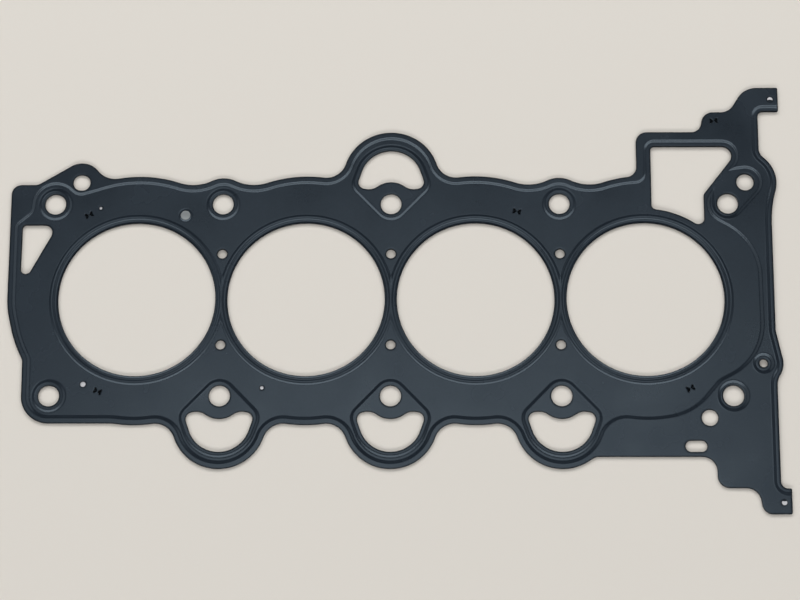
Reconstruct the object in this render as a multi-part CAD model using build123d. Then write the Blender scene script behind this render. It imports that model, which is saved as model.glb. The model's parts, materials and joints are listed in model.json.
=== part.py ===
# Multi-layer steel head gasket for a four-cylinder engine.
#
# Frame: millimetres. The origin is the centre of the head bolt pattern, on the plane of the
# lowest sealing face. +X runs along the row of bores, +Y across it, +Z up to the cylinder head.
#
# Every outline is a closed "belt": discs (x, y, radius) joined by their tangent lines, walked
# anticlockwise. A positive radius turns left round the disc, a negative one turns right.
from build123d import *
import math
import os

# ---------------------------------------------------------------- driving dimensions (mm)
bore_count = 4
bore_pitch = 84.0        # distance between neighbouring cylinders
bore_d = 78.0            # combustion opening
bolt_row = 97.9          # distance between the two rows of head bolts
bolt_d = 10.4            # clearance hole for an M10 head bolt

sheet_t = 0.25           # one embossed, rubber coated sheet
carrier_t = 0.50         # flat stainless sheet between the two
rise = 0.25              # height of the half beads
slope = 1.6              # width of a half bead's slope
edge_bead = 3.2          # outline to the middle of the half bead that follows it
rim_bead = 2.6           # the same along the timing-case edge
collar_r = 7.65          # half bead round a bolt hole, sunk collar
boss_collar_r = 7.1      # the same, raised collar

bead_crest = (1.6, 0.14)     # bore bead: distance from the bore edge, height over the flange
bead_valley = (2.8, 0.08)    # shallow valley behind the crest
bead_end = (4.3, rise)       # where the bead meets the raised field
bead_foot = 0.3              # flat lip next to the bore

band_w = 24.4            # bore edge to the outline
boss_r = 13.6            # outline round a bolt boss
lobe_r = 23.2            # outline round a coolant lobe
lobe_reach = 13.05       # bolt row to the centre of a lower lobe
top_lobe_r = 24.0
top_lobe_reach = 13.45
lobe_fillet = 10.2
boss_fillet = 21.5
corner_r = 0.7           # sharp tab corners

end_reach = 64.35        # first bore's centre to the straight left-hand edge
end_wall_r = 45.35
case_reach = 63.65       # last bore's centre to the timing-case edge
tab_reach = 5.15         # how far the two locating tabs pass that edge
neck_depth = 5.3         # how far the edge steps back under the upper tab
tab_rise = 60.85         # upper bolt row to the top of the upper tab
tab_drop = 58.45         # lower bolt row to the foot of the lower tab
head_tab_h = 12.6
foot_tab_h = 12.5
foot_drop = 30.25        # lower bolt row to the oil drain foot
step_drop = 45.65        # lower bolt row to the step beside the lower tab
frame_drop = 23.4        # top of the upper tab to the frame of the chain opening

bridge_d = 4.8           # coolant holes between the bores
bridge_y = 23.2
dowel_d = 8.1
dowel_float = 0.5        # the left dowel hole is that much longer than wide
case_dowel_d = 8.7
oil_d = 8.1              # oil feed hole
nub_hole_d = 4.1
window_wall = 7.4        # bore edge to the chain opening
window_rim = 9.6         # chain opening to the outline above it
rivet_head_d = 4.8
rivet_head_t = 0.2
rivet_shank_d = 2.6
rivet_collar_r = 3.6
trim = 0.25              # how far the carrier sits inside the outline and the coolant holes

# ---------------------------------------------------------------- derived places
bore_r = bore_d / 2
bolt_y = bolt_row / 2
bolt_r = bolt_d / 2
bore_x = [(i - (bore_count - 1) / 2) * bore_pitch for i in range(bore_count)]
bolt_x = [(i - bore_count / 2) * bore_pitch for i in range(bore_count + 1)]
middle = bore_count // 2
first_x = bore_x[0]
last_x = bore_x[-1]
left_bolt = bolt_x[0]
right_bolt = bolt_x[-1]
band_r = bore_r + band_w
left_x = first_x - end_reach
right_x = last_x + case_reach
tab_x = right_x + tab_reach
tab_top_y = bolt_y + tab_rise
tab_low_y = -bolt_y - tab_drop
neck_x = right_x - neck_depth
frame_y = tab_top_y - frame_drop
foot_y = -bolt_y - foot_drop
step_y = -bolt_y - step_drop
carrier_z = rise + sheet_t
upper_z = carrier_z + carrier_t
blank_half = tab_x + 30.0
deep = 0.1


# ---------------------------------------------------------------- belts
def mirrored(discs):
    """The same belt turned over the X axis, still anticlockwise."""
    return [(x, -y, r) for x, y, r in reversed(discs)]


def moved(discs, dx, dy=0.0):
    return [(x + dx, y + dy, r) for x, y, r in discs]


def inset(discs, by):
    return [(x, y, r - by) for x, y, r in discs]


def fillet_disc(a, b, r):
    """Concave disc of radius r that touches discs a and b, on the right of the way a to b."""
    ra = a[2] + r
    rb = b[2] + r
    dx = b[0] - a[0]
    dy = b[1] - a[1]
    d = math.hypot(dx, dy)
    along = (ra * ra - rb * rb + d * d) / (2 * d)
    off = math.sqrt(ra * ra - along * along)
    return (a[0] + (dx * along + dy * off) / d, a[1] + (dy * along - dx * off) / d, -r)


def beside(disc, r, x):
    """How far from disc's centre, in Y, a disc of radius r at x must sit to touch it."""
    return math.sqrt((disc[2] + r) ** 2 - (x - disc[0]) ** 2)


def nested(disc, r, direction):
    """Disc of radius r inside another, touching it in the given direction (degrees)."""
    way = math.radians(direction)
    reach = disc[2] - r
    return (disc[0] + reach * math.cos(way), disc[1] + reach * math.sin(way), r)


def belt_wire(discs, grow=0.0, z=0.0):
    """Closed wire of arcs and tangent lines round the discs, every point moved out by grow."""
    legs = []
    for a, b in zip(discs, discs[1:] + discs[:1]):
        dx = b[0] - a[0]
        dy = b[1] - a[1]
        step = b[2] - a[2]
        length = math.sqrt(max(dx * dx + dy * dy - step * step, 0.0))
        go = math.atan2(dy, dx) - math.atan2(step, length)
        leave = Vector(a[0] + (a[2] + grow) * math.sin(go), a[1] - (a[2] + grow) * math.cos(go), z)
        meet = Vector(b[0] + (b[2] + grow) * math.sin(go), b[1] - (b[2] + grow) * math.cos(go), z)
        legs.append((go, leave, meet if length > 0.01 else leave))
    edges = []
    for i, (x, y, r) in enumerate(discs):
        r += grow
        come, _, start = legs[i - 1]
        go, leave, meet = legs[i]
        turn = (go - come) % (2 * math.pi)
        if r < 0:
            turn -= 2 * math.pi
        half = come + turn / 2
        bulge = Vector(x + r * math.sin(half), y - r * math.cos(half), z)
        edges.append(Edge.make_three_point_arc(start, bulge, leave))
        if meet is not leave:
            edges.append(Edge.make_line(leave, meet))
    return Wire(edges)


def plate(discs, z0, z1, grow=0.0):
    return extrude(Face(belt_wire(discs, grow, z0)), z1 - z0)


def mesa(discs, z0, z1):
    """Raised field: its edge is a half bead whose middle line is the belt."""
    def spread(z):
        return slope * (0.5 - z / rise)
    return Solid.make_loft([belt_wire(discs, spread(z), z) for z in (z0, z1)], ruled=True)


def basin(discs, z0, z1):
    """Sunk field: the same half bead, opening upward."""
    def spread(z):
        return slope * (z / rise - 0.5)
    return Solid.make_loft([belt_wire(discs, spread(z), z) for z in (z0, z1)], ruled=True)


def drum(x, y, r, z0, z1):
    return Pos(x, y, z0) * Cylinder(r, z1 - z0, align=(Align.CENTER, Align.CENTER, Align.MIN))


# ---------------------------------------------------------------- outline
def band(i):
    return (bore_x[i], 0.0, band_r)


def hole(centre, d):
    return (centre[0], centre[1], d / 2)


low_lobes = [(x, -bolt_y - lobe_reach, lobe_r) for x in bolt_x[1:-1]]
top_lobe = (bolt_x[middle], bolt_y + top_lobe_reach, top_lobe_r)

end_wall = [(left_x + end_wall_r, 1.0, end_wall_r), (first_x, 0.0, band_r + 0.2)]
low_boss = (left_bolt, -bolt_y, boss_r)
notch_r = 5.0
notch_x = left_bolt - boss_r - 0.1 - notch_r
notch = (notch_x, -beside(end_wall[1], notch_r, notch_x), -notch_r)
sill_r = 25.0
sill_y = -bolt_y - boss_r - sill_r
sill = (first_x - math.sqrt((band_r + sill_r) ** 2 - sill_y ** 2), sill_y, -sill_r)
left_side = end_wall + [notch, low_boss, sill]

low_side = []
for i, low in enumerate(low_lobes):
    low_side += [band(i), fillet_disc(band(i), low, lobe_fillet), low]
    if i + 1 < len(low_lobes):
        low_side += [fillet_disc(low, band(i + 1), lobe_fillet)]

# lower right corner: oil drain foot, steps and the lower locating tab
foot_tab_y = tab_low_y + foot_tab_h
shelf = [(last_x - 24.3, foot_y - 5.0, -5.0),
         (last_x + 26.0, foot_y - 7.1, -7.1),
         (last_x + 39.1, step_y + 6.0, 6.0),
         (last_x + 46.9, step_y - 7.1, -7.1),
         (last_x + 59.5, tab_low_y + 5.3, 5.3),
         (tab_x - corner_r, tab_low_y + corner_r, corner_r),
         (tab_x - corner_r, foot_tab_y - corner_r, corner_r)]

# timing-case edge, from the lower tab up to the upper one
head_tab_y = tab_top_y - head_tab_h
nub = (right_x - 7.38, -32.7, 10.65)
nub_hole = (right_x - 6.45, -32.65)
ear = (right_x - 13.45, bolt_y + 11.15, 16.5)
case_dowel = (ear[0] + 0.8, ear[1])
case_edge = [(right_x + 3.5, foot_tab_y + 3.5, -3.5),
             (right_x + 10.0, nub[1] - beside(nub, 10.0, right_x + 10.0), -10.0),
             nub,
             (right_x + 8.0, nub[1] + 17.2, -8.0),
             (right_x + 60.0, ear[1] - beside(ear, 60.0, right_x + 60.0), -60.0),
             ear,
             (neck_x + 6.0, ear[1] + beside(ear, 6.0, neck_x + 6.0), -6.0),
             (neck_x + 2.7, head_tab_y - 2.7, -2.7)]

# upper locating tab and the frame round the chain opening
frame_x = last_x - 3.15
elbow_r = 5.5
elbow = (frame_x - elbow_r, beside(band(-1), elbow_r, frame_x - elbow_r), -elbow_r)
head_tab = [(tab_x - corner_r, head_tab_y + corner_r, corner_r),
            (tab_x - corner_r, tab_top_y - corner_r, corner_r),
            (tab_x - 10.6, tab_top_y - 11.05, 11.05),
            (last_x + 39.8, tab_top_y - 5.3, -7.6),
            (last_x + 35.9, tab_top_y - 18.8, 5.9),
            (last_x + 24.8, frame_y + 5.2, -5.2),
            (frame_x + 5.45, frame_y - 5.45, 5.45),
            elbow]

top_side = [band(-1)]
for i in range(bore_count - 1, 0, -1):
    over = top_lobe if i == middle else (bolt_x[i], bolt_y, boss_r)
    r = lobe_fillet if i == middle else boss_fillet
    top_side += [fillet_disc(band(i), over, r), over, fillet_disc(over, band(i - 1), r), band(i - 1)]

dowel_ear = (left_bolt + 12.6, bolt_y + 11.25, 10.3)
left_corner = [fillet_disc(band(0), dowel_ear, 11.2),
               dowel_ear,
               (left_bolt - 10.6, bolt_y + 15.25, -5.0),
               (left_x + 5.0, bolt_y + 5.25, 5.0)]

outline = left_side + low_side + shelf + case_edge + head_tab + top_side + left_corner

# ---------------------------------------------------------------- openings
window_x0 = last_x + 4.05
window_x1 = last_x + 30.2
arch = (last_x, 0.0, bore_r + window_wall)
w0 = (window_x0 + 2.3, 0.0, 2.3)
w1 = (window_x1 - 3.1, 0.0, 3.1)
window = [(w0[0], beside(arch, w0[2], w0[0]), w0[2]),
          (last_x, 0.0, -arch[2]),
          (w1[0], beside(arch, w1[2], w1[0]), w1[2]),
          (window_x1 + 1.5, bolt_y + 4.35, -1.5),
          (last_x + 39.8, frame_y - window_rim - 2.8, 4.8),
          (window_x0 + 2.0, frame_y - window_rim, 2.0)]
drain = [(left_x + 8.7, bolt_y - 33.35, 2.6),
         (left_x + 17.2, bolt_y - 14.65, 4.0),
         (left_x + 8.2, bolt_y - 12.65, 2.0)]
slot = [(last_x + 25.7, foot_y + 5.2, 2.83), (last_x + 20.7, foot_y + 5.2, 2.83)]
dowel_hole = [(left_bolt + 12.5 + dowel_float, dowel_ear[1] + 0.1, dowel_d / 2),
              (left_bolt + 12.5, dowel_ear[1] + 0.1, dowel_d / 2)]

# coolant port below a head bolt, drawn from the bolt's centre
port = [(0.0, -12.45, 15.4),
        (12.8, -11.55, 3.6),
        (11.2, -15.15, 7.4),
        (0.0, 0.0, -11.4),
        (-11.2, -15.15, 7.4),
        (-12.8, -11.55, 3.6)]
ports = [moved(port, x, -bolt_y) for x in bolt_x[1:-1]]
ports += [moved(mirrored(port), bolt_x[middle], bolt_y)]

bolt_holes = [(x, y, bolt_r) for x in bolt_x for y in (-bolt_y, bolt_y)]
round_holes = [(x, y, bridge_d / 2) for x in bolt_x[1:-1] for y in (-bridge_y, bridge_y)]
round_holes += [hole(case_dowel, case_dowel_d),
                hole((right_bolt - 11.8, -bolt_y - 10.95), oil_d),
                hole(nub_hole, nub_hole_d)]
shaped_holes = ports + [window, drain, slot, dowel_hole]

# holes in the upper sheet that show the bare carrier below
peep_holes = [hole((left_bolt + 22.7, bolt_y - 1.95), 1.5),
              hole((left_bolt + 16.75, -bolt_y + 5.85), 2.7),
              hole((bolt_x[1] + 20.8, -bolt_y + 4.05), 1.8)]
tab_pins = [hole((tab_x - 3.85, tab_top_y - 6.2), 2.7), hole((tab_x - 3.75, tab_low_y + 5.65), 2.6)]
pin_shift = [-2.3, 2.9]      # how far the carrier's own tab holes sit from these in Y
pin_well_r = 2.3
rivet_at = (bolt_x[1] - 18.75, bolt_y - 5.75)

# lanced joints that lock the sheets together: x, y, direction in degrees
clinches = [(left_bolt + 16.95, bolt_y - 5.55, 25.0),
            (left_bolt + 24.0, -bolt_y + 2.35, -21.0),
            (bolt_x[-2] - 21.2, bolt_y - 3.95, -12.0),
            (right_bolt - 20.9, -bolt_y + 3.65, 25.0),
            (last_x + 36.3, frame_y + 6.0, 5.0)]
lance_gap = 0.75
lance_arm = 1.2
lance_w = 0.8
lance_spread = 0.87      # half angle of the V, radians


def lances(z0, z1):
    """Two V-shaped cuts back to back at each joint."""
    cuts = []
    for x, y, turn in clinches:
        for side in (0.0, 180.0):
            root = math.radians(turn + side)
            px = x + lance_gap * math.cos(root)
            py = y + lance_gap * math.sin(root)
            for bend in (-lance_spread, lance_spread):
                qx = px + lance_arm * math.cos(root + bend)
                qy = py + lance_arm * math.sin(root + bend)
                cuts.append(plate([(px, py, lance_w / 2), (qx, qy, lance_w / 2)], z0, z1))
    return cuts


# ---------------------------------------------------------------- embossed field
gap_fillet = fillet_disc(low_lobes[-1], band(-1), lobe_fillet)
window_bead = 2.9
frame_disc = (window[5][0], window[5][1], window[5][2] + window_bead)
turn_x = frame_disc[0] - frame_disc[2] - 5.0
core_band = (last_x, 0.0, band_r - edge_bead)
field = inset(left_side + low_side + [gap_fillet, band(-1)], edge_bead)
field += [nested(core_band, 30.0, -78.0),
          (right_bolt, -bolt_y, -9.8),
          (last_x + 27.8, -12.0, 29.5),
          (last_x + 26.5, 11.5, 30.6),
          (right_bolt, bolt_y, -9.6),
          (window[4][0], window[4][1], window[4][2] + window_bead),
          frame_disc,
          (turn_x, beside(core_band, 5.0, turn_x), -5.0)]
field += inset(top_side, edge_bead)
field += [(dowel_ear[0], dowel_ear[1], -5.9),
          (left_bolt, bolt_y, 10.9),
          (left_x + 6.15, bolt_y - 1.45, -5.0),
          (left_x + 7.05, bolt_y - 12.45, 4.0)]

# raised strip along the timing-case edge
strip = [(x, y, rim_bead - r) for x, y, r in reversed(case_edge)]
strip += [(right_x + 50.0, strip[-1][1], strip[-1][2]), (right_x + 50.0, strip[0][1], strip[0][2])]

# sunk islands that hold a bolt hole and its coolant port together, drawn from the bolt's centre
island = [(0.0, -12.25, 17.95), (12.6, -11.05, 6.45), (0.0, 0.0, 7.8), (-12.6, -11.05, 6.45)]
islands = [moved(island, x, -bolt_y) for x in bolt_x[1:-1]]
islands += [moved(mirrored(island), bolt_x[middle], bolt_y)]

sunk_circles = [(x, bolt_y, collar_r) for i, x in enumerate(bolt_x[:-1]) if i != middle]
sunk_circles += [(left_bolt, -bolt_y, collar_r), (rivet_at[0], rivet_at[1], rivet_collar_r)]
raised_circles = [(right_bolt, -bolt_y, boss_collar_r), hole(nub_hole, 9.0)]
raised_pair = [(right_bolt, bolt_y, boss_collar_r), hole(case_dowel, 15.8)]


def cone(x, y, r, z0, z1, way):
    """Round half bead: way is 1 for a sunk collar and -1 for a raised one."""
    r0, r1 = (r + way * slope * (z / rise - 0.5) for z in (z0, z1))
    body = Cone(r0, r1, z1 - z0, align=(Align.CENTER, Align.CENTER, Align.MIN))
    return Pos(x, y, z0) * body


def bead_cutter(x):
    """Everything above the bead's profile, turned round one bore."""
    top = rise + deep
    foot_slope = bead_crest[1] / (bead_crest[0] - bead_foot)
    start = bead_foot - 2 * deep / foot_slope
    end_slope = (bead_end[1] - bead_valley[1]) / (bead_end[0] - bead_valley[0])
    stop = bead_end[0] + deep / end_slope
    profile = [(start, -2 * deep), bead_crest, bead_valley, (stop, top), (start, top)]
    face = Face(Wire.make_polygon([Vector(bore_r + d, 0, z) for d, z in profile]))
    return Pos(x, 0, 0) * revolve(face, Axis.Z)


def raised_field():
    """Space below the embossed parts of a sheet, from just under the flange to the bead tops."""
    body = mesa(field, -deep, rise)
    cuts = [basin(b, -2 * deep, rise + deep) for b in islands]
    cuts += [cone(x, y, r, -2 * deep, rise + deep, 1) for x, y, r in sunk_circles]
    cuts += [bead_cutter(x) for x in bore_x]
    for cut in cuts:
        body = body - cut
    for extra in [mesa(strip, -deep, rise), mesa(raised_pair, -deep, rise)]:
        body = body + extra
    for x, y, r in raised_circles:
        body = body + cone(x, y, r, -deep, rise, -1)
    return body


def blank(grow, z0, z1):
    """Flat outline of a sheet with the openings all sheets share."""
    body = plate(outline, z0, z1, grow)
    for opening in shaped_holes:
        body = body - plate(opening, z0 - 1, z1 + 1, -grow)
    for x, y, r in round_holes:
        body = body - drum(x, y, r - grow, z0 - 1, z1 + 1)
    for x, y, r in bolt_holes + [(x, 0, bore_r) for x in bore_x]:
        body = body - drum(x, y, r, z0 - 1, z1 + 1)
    return body


def embossed_sheet():
    below = raised_field()
    slab = Box(2 * blank_half, 2 * blank_half, sheet_t, align=(Align.CENTER, Align.CENTER, Align.MIN))
    sheet = slab + Pos(0, 0, sheet_t) * below
    sheet = sheet - below
    return blank(0.0, -0.5, rise + sheet_t + 0.5) & sheet


def main():
    os.makedirs("parts", exist_ok=True)
    sheet = embossed_sheet()
    shank = [(rivet_at[0], rivet_at[1], rivet_shank_d / 2)]

    upper = sheet
    for x, y, r in peep_holes + tab_pins + shank:
        upper = upper - drum(x, y, r, -1, 2)
    for cut in lances(-1, 2):
        upper = upper - cut
    upper = Pos(0, 0, upper_z) * upper

    carrier = blank(-trim, carrier_z, upper_z)
    for (x, y, r), shift in zip(tab_pins, pin_shift):
        carrier = carrier - drum(x, y + shift, pin_well_r, carrier_z - 1, upper_z + 1)
    for x, y, r in shank:
        carrier = carrier - drum(x, y, r, carrier_z - 1, upper_z + 1)
    for cut in lances(carrier_z - 1, upper_z + 1):
        carrier = carrier - cut

    lower = sheet
    for x, y, r in shank:
        lower = lower - drum(x, y, r, -1, 2)
    lower = Pos(0, 0, carrier_z) * mirror(lower, Plane.XY)

    x, y = rivet_at
    seat_low = carrier_z - sheet_t
    seat_top = upper_z + sheet_t
    rivet = drum(x, y, rivet_shank_d / 2, seat_low, seat_top)
    rivet = rivet + drum(x, y, rivet_head_d / 2, seat_low - rivet_head_t, seat_low)
    rivet = rivet + drum(x, y, rivet_head_d / 2, seat_top, seat_top + rivet_head_t)

    for name, shape in (("upper_layer", upper), ("carrier_layer", carrier),
                        ("lower_layer", lower), ("rivet", rivet)):
        solids = shape.solids()
        print(name, len(solids), "solid", round(shape.volume, 1), "mm3", len(shape.faces()), "faces")
        export_step(shape, "parts/" + name + ".step")


main()
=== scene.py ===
"""Multi-layer steel head gasket: two embossed, rubber coated sheets on a bare steel carrier."""

import json
import math

import bpy
import numpy as np
from bpy.props import FloatProperty, FloatVectorProperty, IntProperty, PointerProperty
from mathutils import Matrix, Vector
from mathutils.geometry import delaunay_2d_cdt


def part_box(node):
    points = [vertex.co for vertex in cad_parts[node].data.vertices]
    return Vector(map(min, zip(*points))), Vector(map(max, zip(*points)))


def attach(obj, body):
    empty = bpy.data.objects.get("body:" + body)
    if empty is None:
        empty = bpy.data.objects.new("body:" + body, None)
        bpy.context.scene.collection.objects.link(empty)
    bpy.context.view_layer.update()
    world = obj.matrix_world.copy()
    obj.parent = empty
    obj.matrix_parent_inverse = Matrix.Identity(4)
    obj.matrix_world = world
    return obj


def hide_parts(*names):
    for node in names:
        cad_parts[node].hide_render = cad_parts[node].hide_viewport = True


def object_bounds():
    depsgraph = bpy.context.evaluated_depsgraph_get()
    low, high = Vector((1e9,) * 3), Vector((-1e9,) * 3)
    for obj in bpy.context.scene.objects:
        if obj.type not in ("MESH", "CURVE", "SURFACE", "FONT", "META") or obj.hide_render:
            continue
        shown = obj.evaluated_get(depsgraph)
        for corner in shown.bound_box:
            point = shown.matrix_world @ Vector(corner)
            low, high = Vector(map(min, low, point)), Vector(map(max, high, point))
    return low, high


bl_info = {
    "name": "Head gasket",
    "version": (1, 0, 0),
    "blender": (4, 5, 0),
    "location": "3D View > Sidebar > Gasket",
    "description": "Builds the coated, embossed sheets of a multi-layer steel head gasket",
    "category": "Object",
}

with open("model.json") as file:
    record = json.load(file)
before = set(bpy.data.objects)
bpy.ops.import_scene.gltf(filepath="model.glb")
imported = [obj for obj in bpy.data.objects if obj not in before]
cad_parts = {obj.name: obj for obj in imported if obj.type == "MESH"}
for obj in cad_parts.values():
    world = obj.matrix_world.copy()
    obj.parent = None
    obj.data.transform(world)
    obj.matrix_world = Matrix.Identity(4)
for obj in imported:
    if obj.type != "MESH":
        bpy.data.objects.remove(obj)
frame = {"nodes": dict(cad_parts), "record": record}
CAD_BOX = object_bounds()
MOUNTS = {m["name"]: m for m in frame["record"]["mounts"]}
BODY = "root"
MM = 0.001

# ---------------------------------------------------------------- sizes read from the frame (mm)
bores = sorted((m for m in MOUNTS.values() if m["name"].startswith("bore")), key=lambda m: m["pos_m"][0])
bore_x = [m["pos_m"][0] / MM for m in bores]
bore_r = bores[0]["dims"]["r_mm"]
bore_pitch = bore_x[1] - bore_x[0]
bolt_y = MOUNTS["head_bolts_outer"]["dims"]["spacing_y_mm"] / 2
bolt_r = MOUNTS["head_bolts_outer"]["dims"]["hole_r_mm"]
case_dowel = tuple(v / MM for v in MOUNTS["case_dowel"]["pos_m"][:2])
case_dowel_r = MOUNTS["case_dowel"]["dims"]["r_mm"]
left_x = CAD_BOX[0][0] / MM
tab_x = CAD_BOX[1][0] / MM
tab_low_y = CAD_BOX[0][1] / MM
tab_top_y = CAD_BOX[1][1] / MM

# ---------------------------------------------------------------- outline, as in the solids (mm)
band_w = 24.4            # bore edge to the outline
boss_r = 13.6            # outline round a bolt boss
lobe_r = 23.2            # outline round a coolant lobe
lobe_reach = 13.05       # bolt row to the centre of a lower lobe
top_lobe_r = 24.0
top_lobe_reach = 13.45
lobe_fillet = 10.2
boss_fillet = 21.5
corner_r = 0.7           # sharp tab corners
end_wall_r = 45.35
notch_r = 5.0
sill_r = 25.0
elbow_r = 5.5            # inner corner where the chain opening's frame meets the last bore's band
tab_reach = 5.15         # how far the two locating tabs pass the timing-case edge
neck_depth = 5.3         # how far the edge steps back under the upper tab
head_tab_h = 12.6
foot_tab_h = 12.5
foot_drop = 30.25        # lower bolt row to the oil drain foot
step_drop = 45.65        # lower bolt row to the step beside the lower tab
frame_drop = 23.4        # top of the upper tab to the frame of the chain opening

# ---------------------------------------------------------------- openings, as in the solids (mm)
bridge_r = 2.4           # coolant holes between the bores
bridge_y = 23.2
dowel_r = 4.05
dowel_float = 0.5        # the left dowel hole is that much longer than wide
oil_r = 4.05             # oil feed hole
nub_hole_r = 2.05
slot_r = 2.83
window_wall = 7.4        # bore edge to the chain opening
window_rim = 9.6         # chain opening to the outline above it
lance_gap = 0.75         # middle of a lanced joint to the point of each V
lance_arm = 1.2
lance_w = 0.8
lance_spread = 0.87      # half angle of the V, radians

# ---------------------------------------------------------------- places of the beads (mm)
# All but the last as in the solids. The slopes here are wider, so the rivet's collar is drawn in.
edge_bead = 3.2          # outline to the middle of the half bead that follows it
rim_bead = 2.6           # the same along the timing-case edge
window_bead = 2.9        # the same round the chain opening
collar_r = 7.65          # half bead round a bolt hole, sunk collar
boss_collar_r = 7.1      # the same, raised collar
dowel_collar_r = 7.9
nub_collar_r = 4.5
rivet_collar_r = 2.6

# ---------------------------------------------------------------- derived places (mm)
bolt_x = [bore_x[0] - bore_pitch / 2] + [x + bore_pitch / 2 for x in bore_x]
middle = len(bore_x) // 2
first_x = bore_x[0]
last_x = bore_x[-1]
left_bolt = bolt_x[0]
right_bolt = bolt_x[-1]
band_r = bore_r + band_w
right_x = tab_x - tab_reach
neck_x = right_x - neck_depth
frame_y = tab_top_y - frame_drop
foot_y = -bolt_y - foot_drop
step_y = -bolt_y - step_drop
head_tab_y = tab_top_y - head_tab_h
foot_tab_y = tab_low_y + foot_tab_h
rivet_at = (bolt_x[1] - 18.75, bolt_y - 5.75)

# ---------------------------------------------------------------- lamps, room and camera
LAMPS = {                # place (m), width and height (m), power (W); each is aimed at the origin
    "back_lamp": ((0.0, 1.4, 1.2), (2.6, 0.9), 25.0),
    "left_lamp": ((-1.2, 0.25, 0.85), (1.6, 0.8), 4.0),
    "right_lamp": ((1.2, 0.25, 0.85), (1.6, 0.8), 3.0),
    "front_lamp": ((0.0, -1.7, 1.0), (2.4, 0.6), 22.0),
    "over_lamp": ((0.0, 0.6, 6.0), (2.2, 1.7), 31.0),
}
ROOM_COLOUR = (0.93, 0.96, 1.0, 1.0)
ROOM_STRENGTH = 0.13
TABLE_HALF = 3.0                            # metres
CAMERA_AZIMUTH = math.radians(3.126)        # from straight in front, towards +X
CAMERA_ELEVATION = math.radians(75.9)
CAMERA_ROLL = math.radians(-3.085)
CAMERA_DISTANCE = 1.2106                    # metres
CAMERA_TARGET = Vector((0.004574, -0.000569, 0.0015))
CAMERA_SENSOR = 36.0                        # millimetres wide
CAMERA_LENS = 110.06                        # millimetres


# ---------------------------------------------------------------- belts
ROUNDING = 1e-6          # mm


def mirrored(discs):
    """The same belt turned over the X axis, still anticlockwise."""
    return [(x, -y, r) for x, y, r in reversed(discs)]


def moved(discs, dx, dy=0.0):
    return [(x + dx, y + dy, r) for x, y, r in discs]


def inset(discs, by):
    return [(x, y, r - by) for x, y, r in discs]


def fillet_disc(a, b, r):
    """Concave disc of radius r that touches discs a and b, on the right of the way a to b."""
    ra = a[2] + r
    rb = b[2] + r
    dx = b[0] - a[0]
    dy = b[1] - a[1]
    d = math.hypot(dx, dy)
    along = (ra * ra - rb * rb + d * d) / (2 * d)
    off = math.sqrt(ra * ra - along * along)
    return (a[0] + (dx * along + dy * off) / d, a[1] + (dy * along - dx * off) / d, -r)


def beside(disc, r, x):
    """How far from disc's centre, in Y, a disc of radius r at x must sit to touch it."""
    return math.sqrt((disc[2] + r) ** 2 - (x - disc[0]) ** 2)


def nested(disc, r, direction):
    """Disc of radius r inside another, touching it in the given direction (degrees)."""
    way = math.radians(direction)
    reach = disc[2] - r
    return (disc[0] + reach * math.cos(way), disc[1] + reach * math.sin(way), r)


class Belt:
    """Closed outline of discs (x, y, r) joined by tangent lines, walked anticlockwise.

    A positive radius turns left round its disc, a negative one turns right."""

    def __init__(self, discs):
        ways = []
        for a, b in zip(discs, discs[1:] + discs[:1]):
            step = b[2] - a[2]
            length = math.sqrt(max((b[0] - a[0]) ** 2 + (b[1] - a[1]) ** 2 - step * step, 0.0))
            ways.append((math.atan2(b[1] - a[1], b[0] - a[0]) - math.atan2(step, length), length))
        self.arcs = []
        for i, (x, y, r) in enumerate(discs):
            come = ways[i - 1][0]
            turn = (ways[i][0] - come) % (2 * math.pi)
            if r < 0:
                turn -= 2 * math.pi
            self.arcs.append((x, y, r, come, turn, ways[i][1]))

    def ring(self, grow, sag, run):
        """Points of the belt moved out by grow, at most sag off its arcs and run apart on its lines.

        Rings of one belt have matching points."""
        points = []
        for x, y, r, come, turn, length in self.arcs:
            spread = 2 * math.acos(1 - min(sag / max(abs(r), sag), 0.5))
            n = max(1, math.ceil(abs(turn) / spread))
            for k in range(n + 1):
                a = come + turn * k / n
                points.append((x + (r + grow) * math.sin(a), y - (r + grow) * math.cos(a)))
            n = math.ceil(length / run)
            start = points[-1]
            go = come + turn
            for k in range(1, n):
                s = length * k / n
                points.append((start[0] + s * math.cos(go), start[1] + s * math.sin(go)))
        return np.array(points)

    def depth(self, p):
        """Signed distance of points p to the belt, positive inside."""
        best = np.full(len(p), np.inf)
        for x, y, r, come, turn, length in self.arcs:
            side = math.copysign(1.0, r)
            dx = p[:, 0] - x
            dy = p[:, 1] - y
            angle = np.arctan2(side * dx, -side * dy)
            swept = ((angle - come) * side) % (2 * math.pi) <= abs(turn)
            d = r - side * np.hypot(dx, dy)
            best = np.where(swept & (abs(d) < abs(best)), d, best)
            go = come + turn
            ax = x + r * math.sin(go)
            ay = y - r * math.cos(go)
            along = (p[:, 0] - ax) * math.cos(go) + (p[:, 1] - ay) * math.sin(go)
            left = (p[:, 1] - ay) * math.cos(go) - (p[:, 0] - ax) * math.sin(go)
            on = (along >= -ROUNDING) & (along <= length + ROUNDING)
            best = np.where(on & (abs(left) < abs(best)), left, best)
        return best


class Round:
    """A full circle with the same methods as a belt."""

    def __init__(self, x, y, r):
        self.x = x
        self.y = y
        self.r = r

    def ring(self, grow, sag, run):
        n = math.ceil(math.pi / math.acos(1 - min(sag / self.r, 0.5)))
        a = np.arange(n + 1) * (2 * math.pi / n)
        return np.c_[self.x + (self.r + grow) * np.cos(a), self.y + (self.r + grow) * np.sin(a)]

    def depth(self, p):
        return self.r - np.hypot(p[:, 0] - self.x, p[:, 1] - self.y)


# ---------------------------------------------------------------- outline
def band(i):
    """Outline round bore number i."""
    return (bore_x[i], 0.0, band_r)


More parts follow.
